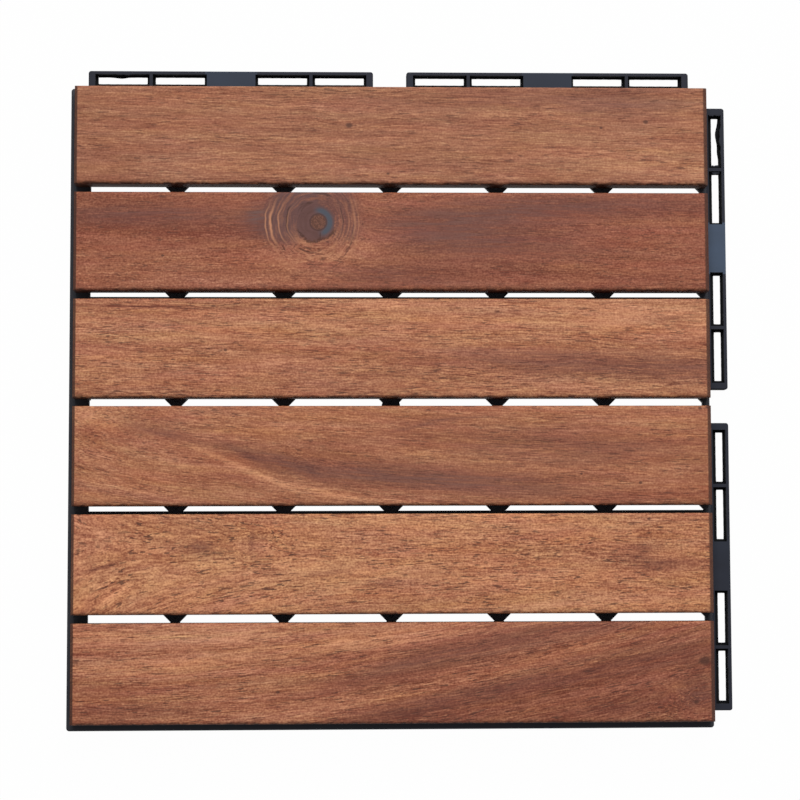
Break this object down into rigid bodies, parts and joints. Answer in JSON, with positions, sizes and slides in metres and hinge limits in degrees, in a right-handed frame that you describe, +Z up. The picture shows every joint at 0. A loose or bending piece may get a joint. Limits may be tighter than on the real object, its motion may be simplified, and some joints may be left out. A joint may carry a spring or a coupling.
{
  "type": "interlocking deck tile",
  "caption": "Square outdoor deck tile: planed hardwood slats screwed from below to a black moulded lattice base with clip loops on two sides and mating flanges on the other two.",
  "frame": {"origin": "centre of the 300 mm laying module, on the plane that the base's feet stand on, at the underside of the central hub", "axes": "+Z up through the slats; +X along the slats towards the side with clip loops; +Y across the slats towards the other side with clip loops"},
  "size_m": [0.3087, 0.3087, 0.019],
  "materials": {
    "plastic": "matte moulded black plastic",
    "wood": "oiled reddish hardwood, planed",
    "screw_steel": "zinc-plated steel"
  },
  "bodies": {
    "root": {"base_grid": "plastic", "slat_1": "wood", "slat_2": "wood", "slat_3": "wood", "slat_4": "wood", "slat_5": "wood", "slat_6": "wood", "slat_screws": "screw_steel"}
  },
  "joints": []
}
